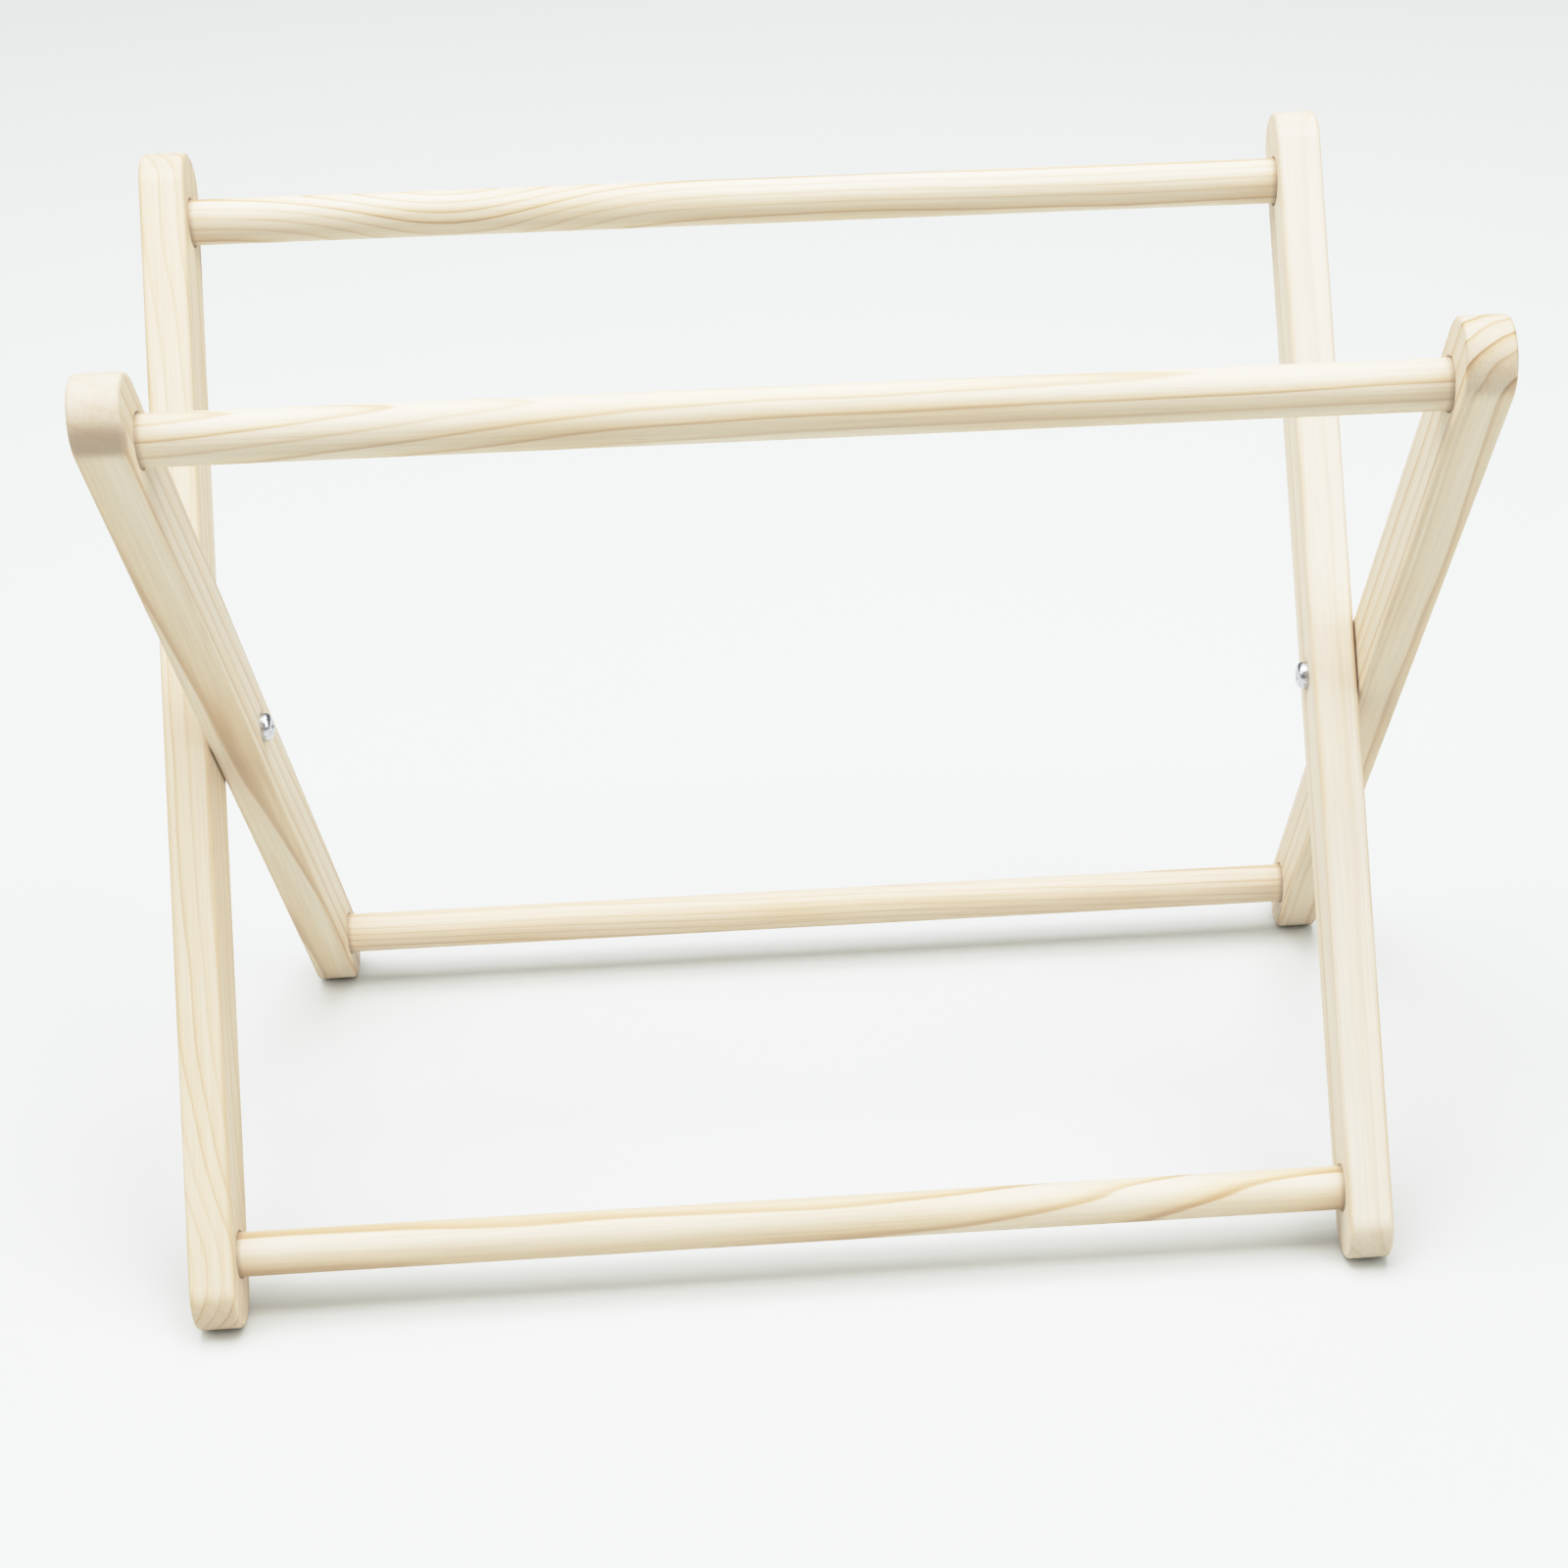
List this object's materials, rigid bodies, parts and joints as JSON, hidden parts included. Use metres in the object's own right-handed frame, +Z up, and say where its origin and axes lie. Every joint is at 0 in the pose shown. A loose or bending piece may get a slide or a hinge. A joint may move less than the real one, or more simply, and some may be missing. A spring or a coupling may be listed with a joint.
{
  "type": "folding table loom frame",
  "caption": "Folding wooden loom frame: two flat-legged frames with round top and foot rails, crossed like scissors on a screw at each side.",
  "frame": {"origin": "on the ground plane under the middle of the pivot axis, at the centre of the standing loom's footprint", "axes": "+X along the rails to the right as seen from the front, +Y to the back, +Z up; the front frame has its top rail at -Y"},
  "size_m": [0.4434, 0.2632, 0.3484],
  "materials": {
    "pine_leg": "bare sanded",
    "pine_rail": "bare sanded",
    "zinc_steel": "bright zinc plated",
    "nylon": "natural nylon"
  },
  "bodies": {
    "front_frame": {"front_frame_left_leg": "pine_leg", "front_frame_right_leg": "pine_leg", "front_frame_top_rail": "pine_rail", "front_frame_foot_rail": "pine_rail", "left_pivot_screw": "zinc_steel", "left_washer": "zinc_steel", "left_lock_nut": "zinc_steel", "left_nut_insert": "nylon"},
    "back_frame": {"back_frame_left_leg": "pine_leg", "back_frame_right_leg": "pine_leg", "back_frame_top_rail": "pine_rail", "back_frame_foot_rail": "pine_rail", "right_pivot_screw": "zinc_steel", "right_washer": "zinc_steel", "right_lock_nut": "zinc_steel", "right_nut_insert": "nylon"}
  },
  "joints": [
    {"name": "fold", "type": "hinge", "parent": "front_frame", "child": "back_frame", "pos_m": [0, 0, 0.1758], "axis": [1, 0, 0], "range_deg": [-101, 65]}
  ]
}
